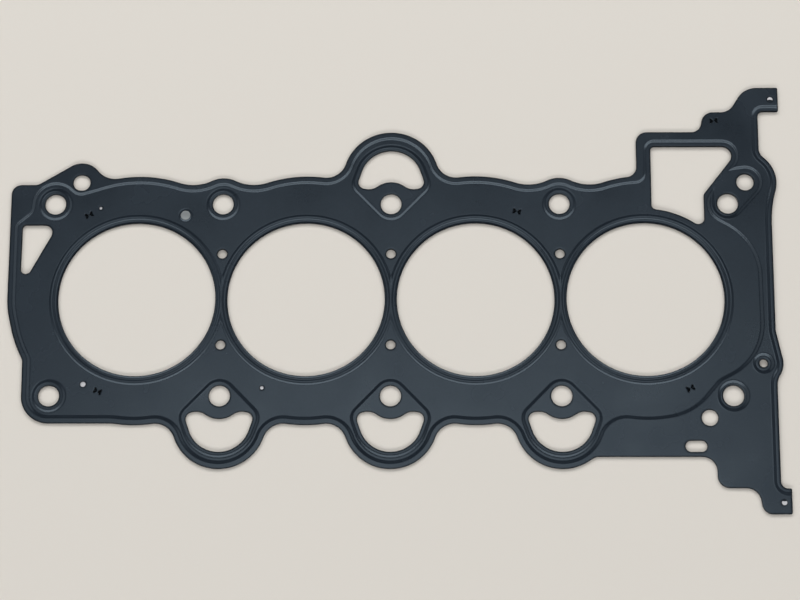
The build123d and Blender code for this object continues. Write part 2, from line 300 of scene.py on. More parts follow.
low_lobes = [(x, -bolt_y - lobe_reach, lobe_r) for x in bolt_x[1:-1]]
top_lobe = (bolt_x[middle], bolt_y + top_lobe_reach, top_lobe_r)

end_wall = [(left_x + end_wall_r, 1.0, end_wall_r), (first_x, 0.0, band_r + 0.2)]
low_boss = (left_bolt, -bolt_y, boss_r)
notch_x = left_bolt - boss_r - 0.1 - notch_r
notch = (notch_x, -beside(end_wall[1], notch_r, notch_x), -notch_r)
sill_y = -bolt_y - boss_r - sill_r
sill = (first_x - math.sqrt((band_r + sill_r) ** 2 - sill_y ** 2), sill_y, -sill_r)
left_side = end_wall + [notch, low_boss, sill]

low_side = []
for i, low in enumerate(low_lobes):
    low_side += [band(i), fillet_disc(band(i), low, lobe_fillet), low]
    if i + 1 < len(low_lobes):
        low_side += [fillet_disc(low, band(i + 1), lobe_fillet)]

# lower right corner: oil drain foot, steps and the lower locating tab
shelf = [(last_x - 24.3, foot_y - 5.0, -5.0),
         (last_x + 26.0, foot_y - 7.1, -7.1),
         (last_x + 39.1, step_y + 6.0, 6.0),
         (last_x + 46.9, step_y - 7.1, -7.1),
         (last_x + 59.5, tab_low_y + 5.3, 5.3),
         (tab_x - corner_r, tab_low_y + corner_r, corner_r),
         (tab_x - corner_r, foot_tab_y - corner_r, corner_r)]

# timing-case edge, from the lower tab up to the upper one
nub = (right_x - 7.38, -32.7, 10.65)
nub_hole = (right_x - 6.45, -32.65)
ear = (right_x - 13.45, bolt_y + 11.15, 16.5)
case_edge = [(right_x + 3.5, foot_tab_y + 3.5, -3.5),
             (right_x + 10.0, nub[1] - beside(nub, 10.0, right_x + 10.0), -10.0),
             nub,
             (right_x + 8.0, nub[1] + 17.2, -8.0),
             (right_x + 60.0, ear[1] - beside(ear, 60.0, right_x + 60.0), -60.0),
             ear,
             (neck_x + 6.0, ear[1] + beside(ear, 6.0, neck_x + 6.0), -6.0),
             (neck_x + 2.7, head_tab_y - 2.7, -2.7)]

# upper locating tab and the frame round the chain opening
frame_x = last_x - 3.15
elbow = (frame_x - elbow_r, beside(band(-1), elbow_r, frame_x - elbow_r), -elbow_r)
head_tab = [(tab_x - corner_r, head_tab_y + corner_r, corner_r),
            (tab_x - corner_r, tab_top_y - corner_r, corner_r),
            (tab_x - 10.6, tab_top_y - 11.05, 11.05),
            (last_x + 39.8, tab_top_y - 5.3, -7.6),
            (last_x + 35.9, tab_top_y - 18.8, 5.9),
            (last_x + 24.8, frame_y + 5.2, -5.2),
            (frame_x + 5.45, frame_y - 5.45, 5.45),
            elbow]

top_side = [band(-1)]
for i in range(len(bore_x) - 1, 0, -1):
    over = top_lobe if i == middle else (bolt_x[i], bolt_y, boss_r)
    r = lobe_fillet if i == middle else boss_fillet
    top_side += [fillet_disc(band(i), over, r), over, fillet_disc(over, band(i - 1), r), band(i - 1)]

dowel_ear = (left_bolt + 12.6, bolt_y + 11.25, 10.3)
left_corner = [fillet_disc(band(0), dowel_ear, 11.2),
               dowel_ear,
               (left_bolt - 10.6, bolt_y + 15.25, -5.0),
               (left_x + 5.0, bolt_y + 5.25, 5.0)]

edge = Belt(left_side + low_side + shelf + case_edge + head_tab + top_side + left_corner)

# ---------------------------------------------------------------- openings
window_x0 = last_x + 4.05
window_x1 = last_x + 30.2
arch = (last_x, 0.0, bore_r + window_wall)
window = [(window_x0 + 2.3, beside(arch, 2.3, window_x0 + 2.3), 2.3),
          (last_x, 0.0, -arch[2]),
          (window_x1 - 3.1, beside(arch, 3.1, window_x1 - 3.1), 3.1),
          (window_x1 + 1.5, bolt_y + 4.35, -1.5),
          (last_x + 39.8, frame_y - window_rim - 2.8, 4.8),
          (window_x0 + 2.0, frame_y - window_rim, 2.0)]
drain = [(left_x + 8.7, bolt_y - 33.35, 2.6),
         (left_x + 17.2, bolt_y - 14.65, 4.0),
         (left_x + 8.2, bolt_y - 12.65, 2.0)]
slot = [(last_x + 25.7, foot_y + 5.2, slot_r), (last_x + 20.7, foot_y + 5.2, slot_r)]
dowel_hole = [(left_bolt + 12.5 + dowel_float, dowel_ear[1] + 0.1, dowel_r),
              (left_bolt + 12.5, dowel_ear[1] + 0.1, dowel_r)]

# coolant port below a head bolt, drawn from the bolt's centre
port = [(0.0, -12.45, 15.4),
        (12.8, -11.55, 3.6),
        (11.2, -15.15, 7.4),
        (0.0, 0.0, -11.4),
        (-11.2, -15.15, 7.4),
        (-12.8, -11.55, 3.6)]
ports = [moved(port, x, -bolt_y) for x in bolt_x[1:-1]]
ports += [moved(mirrored(port), bolt_x[middle], bolt_y)]

through_holes = [Belt(b) for b in ports + [window, drain, slot, dowel_hole]]
through_holes += [Round(x, y, bolt_r) for x in bolt_x for y in (-bolt_y, bolt_y)]
through_holes += [Round(x, y, bridge_r) for x in bolt_x[1:-1] for y in (-bridge_y, bridge_y)]
through_holes += [Round(*case_dowel, case_dowel_r),
                  Round(right_bolt - 11.8, -bolt_y - 10.95, oil_r),
                  Round(*nub_hole, nub_hole_r)]
bore_edges = [Round(x, 0.0, bore_r) for x in bore_x]

# holes in the upper sheet that show the bare carrier below, the last two in the locating tabs
peep_holes = [Round(left_bolt + 22.7, bolt_y - 1.95, 0.75),
              Round(left_bolt + 16.75, -bolt_y + 5.85, 1.35),
              Round(bolt_x[1] + 20.8, -bolt_y + 4.05, 0.9),
              Round(tab_x - 3.85, tab_top_y - 6.2, 1.35),
              Round(tab_x - 3.75, tab_low_y + 5.65, 1.3)]

# lanced joints that lock the sheets together: x, y, direction in degrees
clinches = [(left_bolt + 16.95, bolt_y - 5.55, 25.0),
            (left_bolt + 24.0, -bolt_y + 2.35, -21.0),
            (bolt_x[-2] - 21.2, bolt_y - 3.95, -12.0),
            (right_bolt - 20.9, -bolt_y + 3.65, 25.0),
            (last_x + 36.3, frame_y + 6.0, 5.0)]


def lances():
    """Arms of the two V-shaped cuts, back to back, at each lanced joint."""
    cuts = []
    for x, y, turn in clinches:
        for side in (0.0, 180.0):
            root = math.radians(turn + side)
            px = x + lance_gap * math.cos(root)
            py = y + lance_gap * math.sin(root)
            for bend in (-lance_spread, lance_spread):
                qx = px + lance_arm * math.cos(root + bend)
                qy = py + lance_arm * math.sin(root + bend)
                cuts.append(Belt([(px, py, lance_w / 2), (qx, qy, lance_w / 2)]))
    return cuts


lanced = lances()


# ---------------------------------------------------------------- beads
def raised_field():
    """Belt along the middle of the half bead that bounds the raised field."""
    corner = window[-2]
    frame_corner = window[-1]
    frame_disc = (frame_corner[0], frame_corner[1], frame_corner[2] + window_bead)
    turn_x = frame_disc[0] - frame_disc[2] - 5.0
    core_band = (last_x, 0.0, band_r - edge_bead)
    gap_fillet = fillet_disc(low_lobes[-1], band(-1), lobe_fillet)
    discs = inset(left_side + low_side + [gap_fillet, band(-1)], edge_bead)
    discs += [nested(core_band, 30.0, -78.0),
              (right_bolt, -bolt_y, -9.8),
              (last_x + 27.8, -12.0, 29.5),
              (last_x + 26.5, 11.5, 30.6),
              (right_bolt, bolt_y, -9.6),
              (corner[0], corner[1], corner[2] + window_bead),
              frame_disc,
              (turn_x, beside(core_band, 5.0, turn_x), -5.0)]
    discs += inset(top_side, edge_bead)
    discs += [(dowel_ear[0], dowel_ear[1], -5.9),
              (left_bolt, bolt_y, 10.9),
              (left_x + 6.15, bolt_y - 1.45, -5.0),
              (left_x + 7.05, bolt_y - 12.45, 4.0)]
    return Belt(discs)


def case_strip():
    """Raised strip along the timing-case edge, closed far outside the sheet."""
    far_x = right_x + 50.0
    strip = [(x, y, rim_bead - r) for x, y, r in reversed(case_edge)]
    strip += [(far_x, strip[-1][1], strip[-1][2]), (far_x, strip[0][1], strip[0][2])]
    return Belt(strip)


# sunk island round a bolt hole and its coolant port, drawn from the bolt's centre
island = [(0.0, -12.25, 17.95), (12.6, -11.05, 6.45), (0.0, 0.0, 7.8), (-12.6, -11.05, 6.45)]
sunk = [Belt(moved(island, x, -bolt_y)) for x in bolt_x[1:-1]]
sunk += [Belt(moved(mirrored(island), bolt_x[middle], bolt_y))]
sunk += [Round(x, bolt_y, collar_r) for i, x in enumerate(bolt_x[:-1]) if i != middle]
sunk += [Round(left_bolt, -bolt_y, collar_r), Round(*rivet_at, rivet_collar_r)]

# one boss carries the upper right bolt hole and the case dowel's
pair_boss = [(right_bolt, bolt_y, boss_collar_r),
             (*case_dowel, dowel_collar_r),
             (right_bolt - 2.6, bolt_y + 12.2, 5.0)]
raised = [case_strip(),
          Belt(pair_boss),
          Round(right_bolt, -bolt_y, boss_collar_r),
          Round(*nub_hole, nub_collar_r)]
field = raised_field()


def sunk_depth(p):
    """How far points p lie inside the nearest sunk island or collar."""
    return np.maximum.reduce([s.depth(p) for s in sunk])


def boss_depth(p):
    """How far points p lie inside the nearest raised boss or strip."""
    return np.maximum.reduce([s.depth(p) for s in raised])


def bore_gap(p):
    """Distance of points p from the nearest combustion opening."""
    return np.minimum.reduce([-b.depth(p) for b in bore_edges])


def edge_gap(p, cuts):
    """Distance of points p from the nearest cut edge, negative where there is no sheet."""
    return np.minimum.reduce([edge.depth(p)] + [-c.depth(p) for c in cuts])


# ---------------------------------------------------------------- sheet mesh
EDGE_ROWS = (0.0, 0.2, 0.4, 0.7, 1.0, 1.1)      # rows beside a cut edge, in widths of its droop
SLOPE_MARGIN = 0.12      # mm from a slope to the row that keeps the flat beside it flat
BEAD_OVERRUN = 1.5       # mm that the rows of a bead run on past a cut edge
SMALL_HOLE_R = 1.5       # mm; the rows of a bead run straight over round holes up to this size
NEARLY = 1e-3            # mm by which a row may miss its distance
LOOSELY = 0.05           # the same for the rows of the half beads
CROWDED = 0.95           # an edge row nearer another edge than this share of its own way is left out
TINY = 1e-4              # mm within which two points are one
LANCE_RIM = 2.5          # how many times narrower the droop and the painted edge shade beside a lanced cut are


class RowNet:
    """Rows of points joined by lines, which the triangles of a sheet then follow."""

    def __init__(self, size):
        self.sag = size.curve_error / MM
        self.run = size.longest_edge / MM
        self.rows = []
        self.lines = []
        self.count = 0

    def row(self, shape, grow):
        """Closed row of points along shape, moved out by grow."""
        ring = shape.ring(grow, self.sag, self.run)
        return np.vstack([ring, ring[:1]])

    def add(self, row, keep):
        """Adds a row, with a line between each two neighbours that are both kept."""
        step = np.hypot(*(row[1:] - row[:-1]).T)
        for k in np.nonzero(keep[:-1] & keep[1:] & (step > TINY))[0]:
            self.lines.append((self.count + int(k), self.count + int(k) + 1))
        self.rows.append(row)
        self.count += len(row)

    def triangles(self, cuts):
        """Points and triangles of the sheet between its outline and the cuts."""
        spots = np.vstack(self.rows)
        used = sorted({i for line in self.lines for i in line})
        index = {old: new for new, old in enumerate(used)}
        lines = [(index[a], index[b]) for a, b in self.lines]
        verts, _, faces, *_ = delaunay_2d_cdt([Vector(spots[i]) for i in used], lines, [], 0, TINY)
        xy = np.array([v[:] for v in verts])
        tris = np.array([f for f in faces if len(f) == 3])
        gap = edge_gap(xy[tris].mean(axis=1), cuts)
        tris = tris[gap > TINY]
        kept, back = np.unique(tris, return_inverse=True)
        return xy[kept], back.reshape(tris.shape)


def add_edge_rows(net, cuts, roll):
    """Rows beside the outline and every cut, left out where they come nearer another edge."""
    for shape in [edge] + cuts:
        inward = -1 if shape is edge else 1
        for share in EDGE_ROWS:
            row = net.row(shape, inward * share * roll)
            net.add(row, edge_gap(row, cuts) > CROWDED * share * roll - NEARLY)


def add_bead_rows(net, cuts, slope, rows):
    """Rows across the slopes of the field, the sunk places and the bosses."""
    steps = np.linspace(-slope / 2, slope / 2, rows)
    steps = np.r_[steps[0] - SLOPE_MARGIN, steps, steps[-1] + SLOPE_MARGIN]
    large = [s for s in cuts if not isinstance(s, Round) or s.r > SMALL_HOLE_R]
    for shapes, depth in (([field], field.depth), (sunk, sunk_depth), (raised, boss_depth)):
        for shape in shapes:
            for step in steps:
                row = net.row(shape, -step)
                own = abs(depth(row) - step) < LOOSELY
                net.add(row, own & (edge_gap(row, large) > -BEAD_OVERRUN))


def add_bore_rows(net, cuts, width, rows):
    """Rows across the bead round each combustion opening."""
    steps = np.linspace(0.0, width, rows)
    for shape in bore_edges:
        for step in np.r_[steps[1:], steps[-1] + SLOPE_MARGIN]:
            row = net.row(shape, step)
            own = abs(bore_gap(row) - step) < NEARLY
            net.add(row, own & (edge_gap(row, cuts) > 0))


def flat_sheet(name, cuts, size):
    """Flat mesh of a sheet, with rows of points along every bead and its distances as attributes."""
    net = RowNet(size)
    add_edge_rows(net, cuts, size.edge_roll / MM)
    add_bead_rows(net, cuts, size.bead_slope / MM, size.bead_rows)
    add_bore_rows(net, cuts, size.bore_bead / MM, size.bore_rows)
    xy, tris = net.triangles(cuts)
    mesh = bpy.data.meshes.new(name)
    mesh.from_pydata(np.c_[xy * MM, np.zeros(len(xy))].tolist(), [], tris.tolist())
    punched = [s for s in cuts if s not in lanced]
    distances = {
        "field_depth": field.depth(xy),
        "sunk_depth": sunk_depth(xy),
        "boss_depth": boss_depth(xy),
        "bore_gap": bore_gap(xy),
        "edge_gap": np.minimum(edge_gap(xy, punched), LANCE_RIM * edge_gap(xy, cuts)),
    }
    for key, values in distances.items():
        layer = mesh.attributes.new(key, "FLOAT", "POINT")
        layer.data.foreach_set("value", (values * MM).astype(np.float32))
    return placed(name, mesh)


def placed(name, data):
    """New object in the scene that holds a mesh, lamp or camera."""
    thing = bpy.data.objects.new(name, data)
    bpy.context.scene.collection.objects.link(thing)
    return thing


# ---------------------------------------------------------------- node helpers
class Nodes:
    """Adds and links nodes in a tree, left to right."""

    def __init__(self, tree):
        self.tree = tree
        self.count = 0

    def add(self, kind, inputs=(), **settings):
        """New node of a kind; inputs are sockets to link from or values."""
        node = self.tree.nodes.new(kind)
        node.location = (self.count * 180, -(self.count % 4) * 160)
        self.count += 1
        for key, value in settings.items():
            setattr(node, key, value)
        for key, value in dict(inputs).items():
            socket = node.inputs[key]
            if isinstance(value, bpy.types.NodeSocket):
                self.tree.links.new(value, socket)
            else:
                socket.default_value = value
        return node

    def math(self, operation, *values):
        return self.add("ShaderNodeMath", dict(enumerate(values)), operation=operation).outputs[0]

    def named(self, attribute):
        node = self.add("GeometryNodeInputNamedAttribute", {"Name": attribute}, data_type="FLOAT")
        return node.outputs["Attribute"]

    def ramp(self, value, low, high, to_low, to_high, kind="LINEAR"):
        """Value carried from the range low..high to the range to_low..to_high, and held at its ends."""
        ends = {"From Min": low, "From Max": high, "To Min": to_low, "To Max": to_high}
        node = self.add("ShaderNodeMapRange", {"Value": value, **ends}, interpolation_type=kind)
        return node.outputs["Result"]

    def vector(self, **parts):
        return self.add("ShaderNodeCombineXYZ", parts).outputs[0]

    def joined(self, geometries):
        """All the geometries as one."""
        join = self.add("GeometryNodeJoinGeometry")
        for geometry in geometries:
            self.tree.links.new(geometry, join.inputs[0])
        return join.outputs[0]


def new_tree(name, numbers):
    """Empty Geometry Nodes tree with the numbers and a finish as its inputs."""
    tree = bpy.data.node_groups.new(name, "GeometryNodeTree")
    face = tree.interface
    face.new_socket("Geometry", in_out="INPUT", socket_type="NodeSocketGeometry")
    for number in numbers:
        face.new_socket(number, in_out="INPUT", socket_type="NodeSocketFloat")
    face.new_socket("Finish", in_out="INPUT", socket_type="NodeSocketMaterial")
    face.new_socket("Geometry", in_out="OUTPUT", socket_type="NodeSocketGeometry")
    n = Nodes(tree)
    return n, n.add("NodeGroupInput").outputs


def end_tree(n, geometry, finish):
    """Ends a tree with its instances made real and its finish set."""
    real = n.add("GeometryNodeRealizeInstances", {"Geometry": geometry})
    coated = n.add("GeometryNodeSetMaterial", {"Geometry": real.outputs[0], "Material": finish})
    n.add("NodeGroupOutput", {0: coated.outputs[0]})
    return n.tree


def run_tree(piece, tree, values):
    """Plain mesh of the piece after the tree has worked on it with the given inputs."""
    modifier = piece.modifiers.new(tree.name, "NODES")
    modifier.node_group = tree
    for item in tree.interface.items_tree:
        if item.in_out == "INPUT" and item.name in values:
            modifier[item.identifier] = values[item.name]
    graph = bpy.context.evaluated_depsgraph_get()
    mesh = bpy.data.meshes.new_from_object(piece.evaluated_get(graph), depsgraph=graph)
    piece.modifiers.clear()
    return mesh


# ---------------------------------------------------------------- embossing
# bore bead: share of its width from the opening, share of the bead height
BEAD_PROFILE = [(0.0, 0.0), (0.15, 0.38), (0.36, 0.62), (0.62, 0.28), (1.0, 1.0)]
SHEET_INPUTS = ("Bead height", "Bead slope", "Sunk depth", "Bore bead", "Sheet thickness", "Edge roll",
                "Roll depth", "Facing", "Base")
WELD = 1e-6              # metres
SHEET_CREASE = math.radians(40)
SLOPING = 0.7            # faces whose normal's Z is larger are flats and slopes, not cut edges


def bead_level(n, given):
    """Height of the sheet over its flange: field, sunk places, bore beads and bosses together."""
    height = given["Bead height"]
    half = n.math("MULTIPLY", given["Bead slope"], 0.5)
    minus_half = n.math("MULTIPLY", given["Bead slope"], -0.5)
    plateau = n.ramp(n.named("field_depth"), minus_half, half, 0.0, height, "SMOOTHERSTEP")
    basin = n.math("SUBTRACT", height, given["Sunk depth"])
    hollow = n.ramp(n.named("sunk_depth"), minus_half, half, height, basin, "SMOOTHERSTEP")
    boss = n.ramp(n.named("boss_depth"), minus_half, half, 0.0, height, "SMOOTHERSTEP")
    share = n.math("DIVIDE", n.named("bore_gap"), given["Bore bead"])
    curve = n.add("ShaderNodeFloatCurve", {"Value": share})
    points = curve.mapping.curves[0].points
    for x, y in BEAD_PROFILE[1:-1]:
        points.new(x, y)
    points[0].location = BEAD_PROFILE[0]
    points[len(points) - 1].location = BEAD_PROFILE[-1]
    for point in points:
        point.handle_type = "AUTO_CLAMPED"
    curve.mapping.update()
    bead = n.math("MULTIPLY", curve.outputs[0], height)
    field_level = n.math("MINIMUM", plateau, hollow)
    return n.math("MAXIMUM", n.math("MINIMUM", field_level, bead), boss)


def emboss_tree():
    """Geometry Nodes that press the beads into a flat sheet and give it its thickness."""
    n, given = new_tree("Emboss sheet", SHEET_INPUTS)
    facing = given["Facing"]
    lift = n.math("MULTIPLY_ADD", bead_level(n, given), facing, given["Base"])
    pressed = n.add("GeometryNodeSetPosition", {"Geometry": given["Geometry"], "Offset": n.vector(Z=lift)})
    thick = n.math("MULTIPLY", given["Sheet thickness"], facing)
    wall = n.add("GeometryNodeExtrudeMesh",
                 {"Mesh": pressed.outputs[0], "Offset": n.vector(Z=thick), "Offset Scale": 1.0,
                  "Individual": False}, mode="FACES")
    drop = n.ramp(n.named("edge_gap"), 0.0, given["Edge roll"], given["Roll depth"], 0.0, "SMOOTHSTEP")
    down = n.math("MULTIPLY", n.math("MULTIPLY", drop, facing), -1.0)
    rolled = n.add("GeometryNodeSetPosition",
                   {"Geometry": wall.outputs["Mesh"], "Selection": wall.outputs["Top"],
                    "Offset": n.vector(Z=down)})
    back = n.add("GeometryNodeFlipFaces", {"Mesh": pressed.outputs[0]})
    both = n.joined([back.outputs[0], rolled.outputs[0]])
    closed = n.add("GeometryNodeMergeByDistance", {"Geometry": both, "Distance": WELD})
    turned = n.add("GeometryNodeFlipFaces", {"Mesh": closed.outputs[0]})
    under = n.add("FunctionNodeCompare", {0: facing, 1: 0.0}, data_type="FLOAT", operation="LESS_THAN")
    outward = n.add("GeometryNodeSwitch",
                    {"Switch": under.outputs[0], "False": closed.outputs[0], "True": turned.outputs[0]},
                    input_type="GEOMETRY")
    smooth = n.add("GeometryNodeSetShadeSmooth", {"Geometry": outward.outputs[0], "Shade Smooth": True})
    return end_tree(n, smooth.outputs[0], given["Finish"])


def shade_beads(mesh, boost):
    """Marks the cut edges as sharp and tilts the normals of the slopes boost times as far."""
    mesh.shade_smooth()
    mesh.set_sharp_from_angle(angle=SHEET_CREASE)
    normals = np.empty(3 * len(mesh.loops), np.float32)
    mesh.corner_normals.foreach_get("vector", normals)
    normals = normals.reshape(-1, 3)
    normals[abs(normals[:, 2]) > SLOPING, :2] *= boost
    mesh.normals_split_custom_set((normals / np.linalg.norm(normals, axis=1)[:, None]).tolist())


def sheet_piece(name, node, cuts, facing, finish):
    """Embossed sheet in place of a node, with its beads towards facing: 1.0 is up, -1.0 down."""
    size = bpy.context.scene.gasket_sizes
    low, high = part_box(node)
    piece = flat_sheet(name, cuts, size)
    tree = bpy.data.node_groups.get("Emboss sheet") or emboss_tree()
    piece.data = run_tree(piece, tree, {
        "Bead height": size.bead_height,
        "Bead slope": size.bead_slope,
        "Sunk depth": size.sunk_depth,
        "Bore bead": size.bore_bead,
        "Sheet thickness": size.sheet_thickness,
        "Edge roll": size.edge_roll,
        "Roll depth": size.roll_depth,
        "Facing": facing,
        "Base": low.z if facing > 0 else high.z,
        "Finish": finish,
    })
    for layer in ("field_depth", "sunk_depth", "boss_depth", "bore_gap"):
        piece.data.attributes.remove(piece.data.attributes[layer])
    shade_beads(piece.data, size.slope_boost)
    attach(piece, BODY)
    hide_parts(node)
    return piece


# ---------------------------------------------------------------- finishes
PAINTED_EDGE_SHADE_WIDTH = 0.0007       # metres over which painted shade darkens the coating towards a cut edge
PAINTED_EDGE_SHADE = 0.2          # how much of its colour and shine the painted edge shade leaves at the edge itself
# painted reflection colour: bluish tint on the coating's reflections, standing in for the bluish room light
# they mirror
PAINTED_COOL_REFLECTION = (0.69, 0.86, 1.0, 1.0)
FULL_SPECULAR = 0.5
MILL_LINES = (40.0, 1800.0, 400.0)  # how fine the rolling lines are along X, Y and Z
NOISE_RANGE = (0.3, 0.7)            # between these, a soft noise has nearly all its values
SPECK_RANGE = (0.35, 0.65)


def finish_base(name):
    material = bpy.data.materials.new(name)
    material.use_nodes = True
    material.node_tree.nodes.clear()
    return material, Nodes(material.node_tree)


def noise(n, place, scale, detail, roughness=0.5):
    inputs = {"Vector": place, "Scale": scale, "Detail": detail, "Roughness": roughness}
    return n.add("ShaderNodeTexNoise", inputs).outputs[0]


def shaded(n, colour, shade):
    """The colour times a shade that varies over the surface."""
    return n.add("ShaderNodeVectorMath", {0: tuple(colour), "Scale": shade}, operation="SCALE").outputs[0]


def surface(n, sockets):
    """Principled surface with the given sockets, as the material's own."""
    shader = n.add("ShaderNodeBsdfPrincipled", sockets)
    n.add("ShaderNodeOutputMaterial", {"Surface": shader.outputs[0]})


def coating(colour, roughness):
    """Thin dark rubber over rolled steel: satin, faintly mottled, finely grained, with painted shade that
    darkens its colour and shine beside cut edges.
    """
    material, n = finish_base("Rubber coating")
    place = n.add("ShaderNodeTexCoord").outputs["Object"]
    cloud = noise(n, place, 26.0, 4.0, 0.55)
    speck = noise(n, place, 900.0, 3.0, 0.6)
    grain = noise(n, place, 2600.0, 2.0)
    mottle = n.math("MULTIPLY", n.ramp(cloud, *NOISE_RANGE, 0.88, 1.12),
                    n.ramp(speck, *SPECK_RANGE, 0.93, 1.07))
    gap = n.add("ShaderNodeAttribute", attribute_name="edge_gap").outputs["Fac"]
    # painted shade: colour and shine fade towards every cut edge and on the cut faces, standing in for the
    # shade along the edges
    painted_edge_shade = n.ramp(gap, 0.0, PAINTED_EDGE_SHADE_WIDTH, PAINTED_EDGE_SHADE, 1.0)
    bump = n.add("ShaderNodeBump", {"Height": grain, "Strength": 0.25, "Distance": 2e-5})
    surface(n, {"Base Color": shaded(n, colour, n.math("MULTIPLY", mottle, painted_edge_shade)),
                "Roughness": n.ramp(cloud, *NOISE_RANGE, roughness - 0.04, roughness + 0.05),
                "Normal": bump.outputs[0],
                "Specular IOR Level": n.math("MULTIPLY", painted_edge_shade, FULL_SPECULAR),
                "IOR": 1.5,
                "Specular Tint": PAINTED_COOL_REFLECTION})
    return material


def rolled_steel(name, colour, roughness):
    """Bare sheet steel with the fine lines of the rolling mill along X, and painted shade on its upright
    faces.
    """
    material, n = finish_base(name)
    place = n.add("ShaderNodeTexCoord")
    along_x = n.add("ShaderNodeMapping", {"Vector": place.outputs["Object"], "Scale": MILL_LINES})
    lines = noise(n, along_x.outputs[0], 1.0, 4.0)
    normal = n.add("ShaderNodeSeparateXYZ", {0: place.outputs["Normal"]})
    # painted shade: upright faces, such as the carrier's cut edges and the rivet's rims, get a much darker
    # colour
    painted_side_shade = n.ramp(n.math("ABSOLUTE", normal.outputs["Z"]), 0.3, 0.8, 0.12, 1.0)
    bump = n.add("ShaderNodeBump", {"Height": lines, "Strength": 0.2, "Distance": 1e-5})
    shade = n.math("MULTIPLY", n.ramp(lines, *NOISE_RANGE, 0.88, 1.1), painted_side_shade)
    surface(n, {"Base Color": shaded(n, colour, shade),
                "Roughness": n.ramp(lines, *NOISE_RANGE, roughness - 0.05, roughness + 0.08),
                "Normal": bump.outputs[0],
                "Metallic": 1.0})
    return material


def tongue_in_painted_shade(colour):
    """Near-black metal of the lanced tongues: painted shade deep in the cuts."""
    material, n = finish_base("Tongue steel in painted shade")
    surface(n, {"Base Color": (*colour, 1.0), "Roughness": 0.7, "Specular IOR Level": 0.1})
    return material


# ---------------------------------------------------------------- what a user can change
def length_prop(name, description, default, precision=5):
    return FloatProperty(name=name, description=description, default=default, unit="LENGTH",
                         precision=precision)


def colour_prop(name, description, default):
    return FloatVectorProperty(name=name, description=description, default=default, subtype="COLOR",
                               size=3, min=0.0, max=1.0)


def roughness_prop(name, description, default):
    return FloatProperty(name=name, description=description, default=default, subtype="FACTOR",
                         min=0.0, max=1.0)


class GasketSizes(bpy.types.PropertyGroup):
    bead_height: length_prop("Bead height", "Height of the half beads", 0.00032)
    bead_slope: length_prop("Bead slope", "Width of a half bead's S-shaped slope", 0.0024)
    sunk_depth: length_prop("Sunk depth", "Depth of the sunk islands and collars", 0.00025)
    bore_bead: length_prop("Bore bead", "Width of the bead round each combustion opening", 0.0046)
    sheet_thickness: length_prop("Sheet thickness", "Steel and coating of one embossed sheet", 0.00018)
    edge_roll: length_prop("Edge droop", "Width of the droop that the punch leaves beside an edge", 0.0009)
    roll_depth: length_prop("Droop depth", "Depth of the droop that the punch leaves", 0.00003)
    curve_error: length_prop("Curve error", "Largest gap from a mesh edge to its arc", 0.0000095, 6)
    longest_edge: length_prop("Longest edge", "Spacing of points on straight stretches", 0.0033, 4)
    slope_boost: FloatProperty(name="Slope boost", default=1.8,
                               description="How many times steeper the beads are shaded than built")
    bead_rows: IntProperty(name="Bead rows", description="Rows of points across a half bead", default=9)
    bore_rows: IntProperty(name="Bore rows", description="Rows of points across a bore bead", default=15)


class GasketFinishes(bpy.types.PropertyGroup):
    coat: colour_prop("Coating", "Colour of the rubber coating", (0.009, 0.013, 0.019))
    coat_roughness: roughness_prop("Coating roughness", "Roughness of the rubber coating", 0.25)
    steel: colour_prop("Carrier steel", "Colour of the bare carrier sheet", (0.62, 0.62, 0.64))
    steel_roughness: roughness_prop("Carrier roughness", "Roughness of the bare carrier sheet", 0.38)
    rivet: colour_prop("Rivet steel", "Colour of the rivet", (0.25, 0.265, 0.27))
    rivet_roughness: roughness_prop("Rivet roughness", "Roughness of the rivet", 0.5)
    # near-black colour of the lanced tongues, painted shade that stands in for the shade deep in the cuts
    tongue_shade: colour_prop("Tongue steel in painted shade", "Colour of the metal in the lanced cuts", (0.004, 0.005, 0.006))
    table: colour_prop("Table", "Colour of the table", (0.74, 0.70, 0.64))


# ---------------------------------------------------------------- sheets
class GASKET_OT_sheets(bpy.types.Operator):
    """Builds the two embossed, coated sheets"""
    bl_idname = "gasket.sheets"
    bl_label = "Embossed sheets"

    def execute(self, context):
        finishes = context.scene.gasket_finishes
        coat = coating(finishes.coat, finishes.coat_roughness)
        openings = through_holes + bore_edges
        sheet_piece("upper_sheet", "upper_layer", openings + peep_holes + lanced, 1.0, coat)
        sheet_piece("lower_sheet", "lower_layer", openings, -1.0, coat)
        return {"FINISHED"}


class GASKET_OT_carrier(bpy.types.Operator):
    """Gives the carrier sheet its bare steel finish"""
    bl_idname = "gasket.carrier"
    bl_label = "Carrier sheet"

    def execute(self, context):
        finishes = context.scene.gasket_finishes
        steel = rolled_steel("Bare carrier steel", finishes.steel, finishes.steel_roughness)
        carrier = frame["nodes"]["carrier_layer"]
        carrier.data.materials.clear()
        carrier.data.materials.append(steel)
        return {"FINISHED"}


# ---------------------------------------------------------------- lanced tongues
# The tongues follow the shape of real lanced tongues, but their near-black finish is painted shade, so that
# the cuts read dark.
TONGUE_INPUTS = ("Gap", "Arm", "Width", "Spread", "Thickness")
TONGUE_OVERLAP = 0.6     # how much longer than its arm a bar is, in widths
TONGUE_WIDTH = 0.9       # in widths of the cut above
TONGUE_THICKNESS = 0.3   # in thicknesses of the carrier
TONGUE_LEVEL = 0.4       # height of their middle between the carrier's faces, from the lower one


